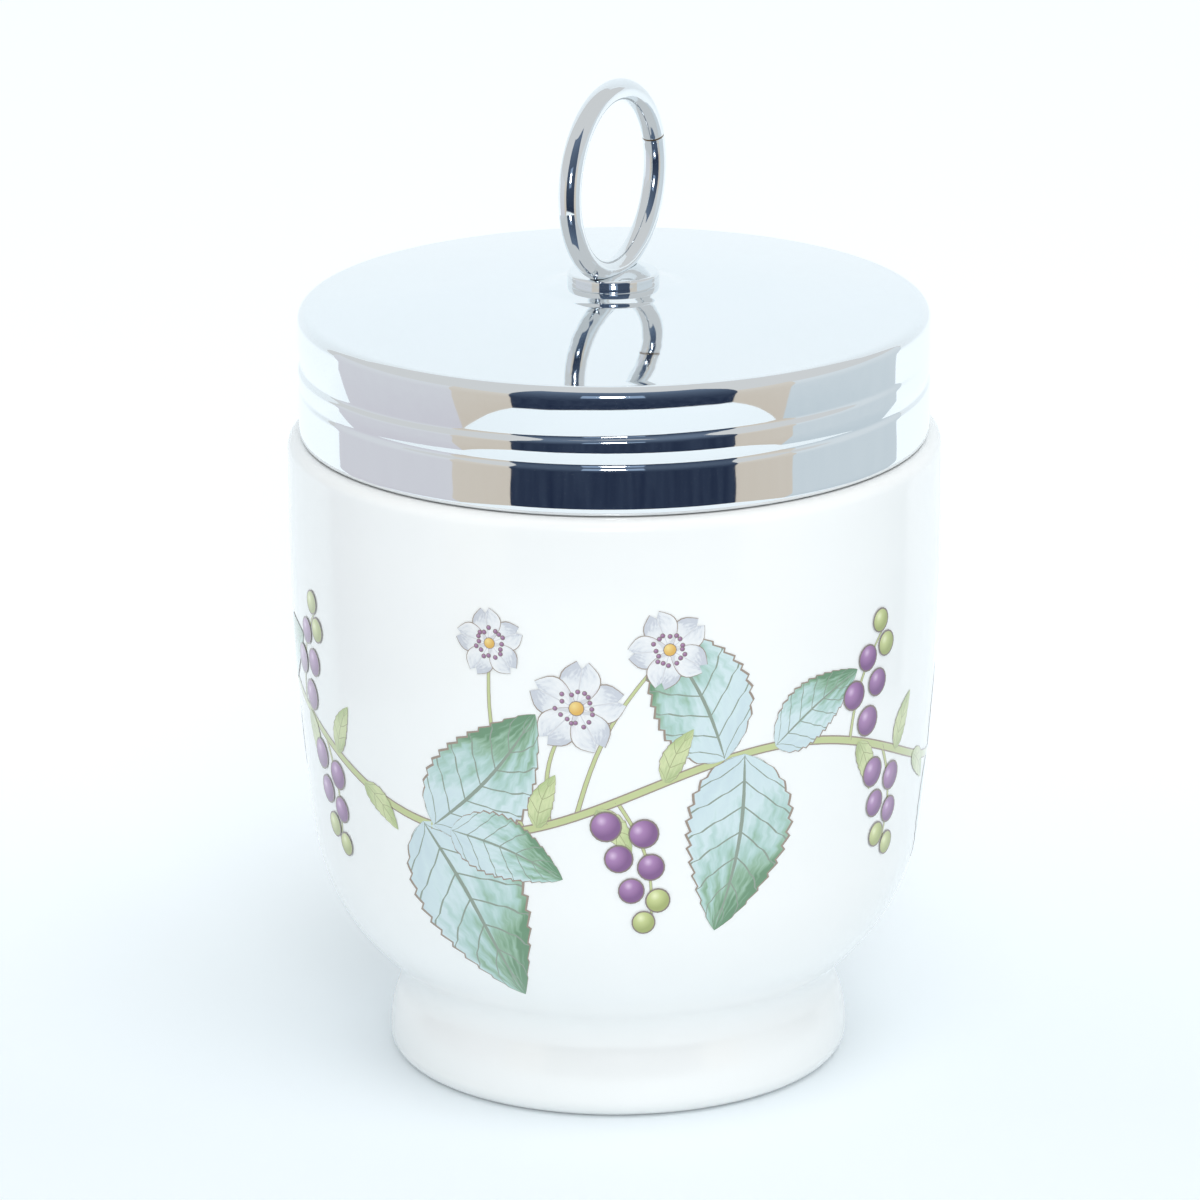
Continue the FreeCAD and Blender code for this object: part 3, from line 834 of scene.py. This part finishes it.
outline = [(HOLE, SEAT)]
outline += line(outline[-1], (SEAT_RADIUS, SEAT), 0.5 * MM)
outline += arc(outline[-1], SEAT_MIDDLE, SEAT_CURVE, -1, 8)
outline += arc(outline[-1], (SEAT_FOOT_RADIUS, SEAT_FOOT), SEAT_CURVE, 1, 8)
outline += arc(outline[-1], (TOP_RADIUS, CAP_TOP), DOME, -1, 24)
outline += arc(outline[-1], (CAP_RADIUS, SIDE_TOP), CORNER, -1, 14)
outline += line(outline[-1], (CAP_RADIUS, CAP_EDGE + SHEET / 2), 0.1 * MM)
outline += arc(outline[-1], (INSIDE, CAP_EDGE + SHEET / 2), SHEET / 2, -1, 8)
outline += line(outline[-1], (INSIDE, SIDE_TOP), 0.15 * MM)
outline += arc(outline[-1], lowered((TOP_RADIUS, CAP_TOP)), CORNER - SHEET, 1, 8)
outline += arc(outline[-1], lowered((SEAT_FOOT_RADIUS, SEAT_FOOT)), DOME, 1, 12)
outline += arc(outline[-1], lowered(SEAT_MIDDLE), SEAT_CURVE, -1, 6)
outline += arc(outline[-1], lowered((SEAT_RADIUS, SEAT)), SEAT_CURVE, 1, 6)
outline += line(outline[-1], lowered((HOLE, SEAT)), MM)
outline += line(outline[-1], (HOLE, SEAT), MM)[:-1]


# %% Cap
def cap_shape(angle, radius, height):
    """Press the groove into both faces of the cap's side, and curl the lower edge in a little."""
    if radius < INSIDE - SHEET or height >= SIDE_TOP:
        return radius, height
    depth = 0
    for middle, fade, degrees in turns(GROOVE, angle):
        crease = middle + CREASE
        upper = smooth((degrees - UPPER_STARTS) / UPPER_BLEND)
        taper = SHORT_TAPER + (LONG_TAPER - SHORT_TAPER) * upper
        full = LOWER_DEPTH + (CREASE_DEPTH - LOWER_DEPTH) * upper
        if height >= crease:
            share = max(1 - (height - crease) / taper, 0) ** LEAN
        else:
            share = smooth(1 - (crease - height) / STEP_OUT)
        depth = max(depth, full * fade * share)
    curl = max(1 - (height - CAP_EDGE) / CURL, 0)
    return radius - depth - CURL_DEPTH * curl * curl, height


cap = lathe("screw_cap", outline, chrome, closed=True, around=512, shape=cap_shape)
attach(cap, "lid")
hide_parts("lid_cap")

# %% [markdown]
# ## The ring
# The ring is one round wire bent to a circle, with its two ends butted and brazed. The join shows
# as a thin brownish line. Blender's torus could be used, but its faces would have to be searched
# for the seam, so the wire is swept here, and each face knows its place along it.

# %% The ring
SEAM_TURN = math.radians(17)
SEAM_WIDTH = 0.22 * MM
SEAM_DIP = 0.05 * MM
RING_BEND = RING_OUTSIDE - WIRE
across_ring = Vector((math.cos(RING_TURN), math.sin(RING_TURN), 0))
ring_axis = Vector((-math.sin(RING_TURN), math.cos(RING_TURN), 0))


def make_ring(around=256, sides=48):
    """A torus with a slight dip at the seam, whose faces there have the tarnished metal."""
    vertices, faces = [], []
    for step in range(around):
        turn = 2 * math.pi * step / around
        away = (turn - SEAM_TURN) * RING_BEND / SEAM_WIDTH
        wire = WIRE - SEAM_DIP * math.exp(-away * away * 4)
        outward = across_ring * math.cos(turn) + Vector((0, 0, math.sin(turn)))
        for side_step in range(sides):
            swing = 2 * math.pi * side_step / sides
            spot = outward * (RING_BEND + wire * math.cos(swing)) + ring_axis * (wire * math.sin(swing))
            vertices.append(spot + Vector((0, 0, RING_MIDDLE)))
    for step in range(around):
        for side_step in range(sides):
            here, there = step * sides, (step + 1) % around * sides
            after = (side_step + 1) % sides
            faces.append((here + side_step, there + side_step, there + after, here + after))
    ring = new_piece("wire_ring", vertices, faces, wire_chrome)
    ring.data.materials.append(seam_metal)
    for face in ring.data.polygons:
        turn = (face.index // sides + 0.5) * 2 * math.pi / around
        if abs(turn - SEAM_TURN) * RING_BEND < SEAM_WIDTH / 2:
            face.material_index = 1
    return ring


ring = make_ring()
print(f"ring {2 * RING_OUTSIDE / MM:.1f} mm across, {len(ring.data.polygons)} faces")
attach(ring, "lid")
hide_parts("lid_ring")

# %% [markdown]
# ## The rivet
# The rivet is turned from rod: a head that the ring is brazed to, a shank, and a spread end. A
# cylinder with a boolean cut would give the trough for the wire. Letting the points of the head's
# flat top down by a formula keeps the mesh clean and the trough exactly under the wire.

# %% The rivet
HEAD_RADIUS = rivet_high.x
HEAD_TOP = rivet_high.z
SHANK = 1.6 * MM
PEEN = 2.7 * MM
PEEN_TOP = rivet_low.z + 0.9 * MM
HEAD_ROUND = 0.3 * MM
TROUGH_GAP = 0.02 * MM

outline = [(0, HEAD_TOP)]
outline += line(outline[-1], (HEAD_RADIUS - HEAD_ROUND, HEAD_TOP), 0.08 * MM)
outline += arc(outline[-1], (HEAD_RADIUS, HEAD_TOP - HEAD_ROUND), HEAD_ROUND, -1, 6)
outline += line(outline[-1], (HEAD_RADIUS, SEAT), 0.1 * MM)
outline += line(outline[-1], (SHANK, SEAT), MM)
outline += line(outline[-1], (SHANK, PEEN_TOP), MM)
outline += line(outline[-1], (PEEN, PEEN_TOP), MM)
outline += line(outline[-1], (PEEN, PEEN_TOP - 0.3 * MM), MM)
outline += arc(outline[-1], (PEEN - 0.6 * MM, rivet_low.z), 0.6 * MM, -1, 6)
outline += line(outline[-1], (0, rivet_low.z), 0.5 * MM)


def saddle_shape(angle, radius, height):
    """Let the head's top down into a trough just under the ring."""
    spot = Vector((radius * math.sin(angle), -radius * math.cos(angle), 0))
    along, aside = spot.dot(across_ring), spot.dot(ring_axis)
    if height <= SEAT or abs(aside) >= WIRE:
        return radius, height
    reach = RING_BEND + math.sqrt(WIRE ** 2 - aside ** 2) + TROUGH_GAP
    return radius, min(height, RING_MIDDLE - math.sqrt(reach ** 2 - along ** 2))


rivet = lathe("rivet_head", outline, wire_chrome, around=192, shape=saddle_shape)
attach(rivet, "lid")
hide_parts("ring_rivet")

# %% [markdown]
# ## The studio
# The object stands on white paper in soft light, with a second soft light beside the camera.
# Chrome has no colour of its own, so what it shows is the room. Cards that only reflections can
# see stand in for that room: the dark space beyond the paper with a bright flash in it, warm
# strips beside that, and pale walls. Where the chrome leans, it shows the paper instead.


# %% Floor and backdrop
GLOW_NEAR, GLOW_FAR = 0.06, 0.24
GLOW_STARTS, GLOW_ENDS = -20 * MM, 120 * MM


def paper():
    """White paper. The camera and the chrome see it a little brighter than it is lit, and most
    so behind the object, where the photograph's paper is burnt out."""
    made, tree, shader = material("white_paper")
    path = node(tree, "ShaderNodeLightPath")
    seen = node(tree, "ShaderNodeMath", [(0, path, "Is Camera Ray"), (1, path, "Is Glossy Ray")],
                operation="ADD", use_clamp=True)
    place = node(tree, "ShaderNodeTexCoord")
    parts = node(tree, "ShaderNodeSeparateXYZ", [("Vector", place, "Object")])
    behind = node(tree, "ShaderNodeMapRange", [("Value", parts, "Y")], From_Min=GLOW_STARTS,
                  From_Max=GLOW_ENDS, To_Min=GLOW_NEAR, To_Max=GLOW_FAR)
    glow = node(tree, "ShaderNodeMath", [(0, seen, 0), (1, behind, "Result")],
                operation="MULTIPLY")
    tree.links.new(glow.outputs[0], shader.inputs["Emission Strength"])
    shader.inputs["Emission Color"].default_value = (1, 1, 1, 1)
    shader.inputs["Base Color"].default_value = colour("#EFF6FA")
    shader.inputs["Roughness"].default_value = 0.9
    shader.inputs["Specular IOR Level"].default_value = 0.0
    return made


def sweep(flat=0.9, curve=0.5):
    """A sheet that lies flat, then curves up behind the object."""
    section = [(-1.2, 0), (flat, 0)]
    section += [(flat + curve * math.sin(a), curve - curve * math.cos(a))
                for a in (math.pi / 2 * step / 16 for step in range(1, 17))]
    section += [(flat + curve, 2.0)]
    vertices = [(x, y, z) for y, z in section for x in (-2.0, 2.0)]
    faces = [(2 * i, 2 * i + 1, 2 * i + 3, 2 * i + 2) for i in range(len(section) - 1)]
    return new_piece("paper_sweep", vertices, faces, paper())


sweep()


# %% [markdown]
# ## The room that the chrome shows
# A photograph of a room on the world's background would put reflections in the chrome, but not in
# chosen places. A card is a strip of a drum round the object, from an angle and radius to
# another. Its colour is its own light, and only reflections see it, so it doesn't change how the
# object is lit. A cloudy pattern a few millimetres across keeps it from looking like a plain
# strip.

# %% Cards for the reflections
MOTTLE = 9.1 * MM


def card(name, lower, upper, first, last, low, high, strength=1.0, steps=24):
    """A card between two (angle, radius) places and two heights, that only gloss sees. Its
    colour goes from lower to upper, a little cloudy."""
    made, tree, shader = material(name)
    place = node(tree, "ShaderNodeTexCoord")
    parts = node(tree, "ShaderNodeSeparateXYZ", [("Vector", place, "Generated")])
    mottle = node(tree, "ShaderNodeTexNoise", [("Vector", place, "Object")], Scale=1 / MOTTLE,
                  Detail=3)
    rise = node(tree, "ShaderNodeMath", [(0, mottle, "Fac"), (2, parts, "Z")],
                operation="MULTIPLY_ADD", input_1=0.3)
    tint = node(tree, "ShaderNodeValToRGB", [("Fac", rise, 0)], ((0.0, lower), (1.0, upper)))
    tree.links.new(tint.outputs["Color"], shader.inputs["Emission Color"])
    shader.inputs["Base Color"].default_value = (0, 0, 0, 1)
    shader.inputs["Specular IOR Level"].default_value = 0.0
    shader.inputs["Emission Strength"].default_value = strength
    vertices = []
    for step in range(steps + 1):
        angle = math.radians(first[0] + (last[0] - first[0]) * step / steps)
        radius = first[1] + (last[1] - first[1]) * step / steps
        for z in (low, high):
            vertices.append((radius * math.sin(angle), -radius * math.cos(angle), z))
    faces = [(2 * i, 2 * i + 1, 2 * i + 3, 2 * i + 2) for i in range(steps)]
    made_card = new_piece(name, vertices, faces, made)
    made_card.visible_camera = False
    made_card.visible_diffuse = False
    made_card.visible_shadow = False
    made_card.visible_transmission = False
    made_card.visible_volume_scatter = False
    print(f"card {name}: {first[0]} to {last[0]} degrees")


# %% Set the cards up
NEAR, FAR = 0.14, 0.22
card("dark_room", "#0A1733", "#66768C", (-35, FAR), (41, FAR), 0.0, 0.40)
card("warm_left", "#CFC5B8", "#DAD4CB", (-54, NEAR), (-35, FAR), 0.0, 0.12)
card("warm_right", "#CFC5B8", "#DAD4CB", (41, FAR), (60, NEAR), 0.0, 0.12)
card("lilac_left", "#D0CED7", "#DCDFE4", (-107, 0.13), (-54, NEAR), 0.0, 0.11)
card("grey_right", "#C3D0D8", "#DCE4E9", (60, NEAR), (112, 0.13), 0.0, 0.11)
card("flash", "#FFFFFF", "#FFFFFF", (-4.5, 0.21), (3.5, 0.21), 0.118, 0.150, 14)
card("flash_glow", "#8FA4C0", "#8FA4C0", (-11, 0.215), (10, 0.215), 0.095, 0.175)

# %% [markdown]
# ## Light
# An even pale world does most of the work, as a white tent does round a small product. A large
# soft lamp overhead gives the object a shadow to stand on, and a smaller one beside the camera
# lights the middle of the cup a little more than its sides, as a flash does.

# %% Light
world = bpy.data.worlds.new("soft_room")
bpy.context.scene.world = world
world.use_nodes = True
sky = world.node_tree.nodes["Background"]
sky.inputs["Color"].default_value = colour("#F8FAFB")
sky.inputs["Strength"].default_value = 0.72


def soft_lamp(name, place, target, size, power):
    """A round lamp aimed at the target. Gloss sees the cards instead of it."""
    data = bpy.data.lights.new(name, "AREA")
    data.shape = "DISK"
    data.size = size
    data.energy = power
    lamp = bpy.data.objects.new(name, data)
    lamp.location = place
    lamp.rotation_euler = (Vector(target) - Vector(place)).to_track_quat("-Z", "Y").to_euler()
    lamp.visible_glossy = False
    bpy.context.scene.collection.objects.link(lamp)


CUP_MIDDLE = (0, 0, 0.05)
soft_lamp("overhead", (0.2, -0.5, 1.3), CUP_MIDDLE, 0.9, 5)
soft_lamp("front", (0.1, -1.0, 0.5), CUP_MIDDLE, 0.35, 2.2)
print("lamps:", [lamp.name for lamp in bpy.data.lights])
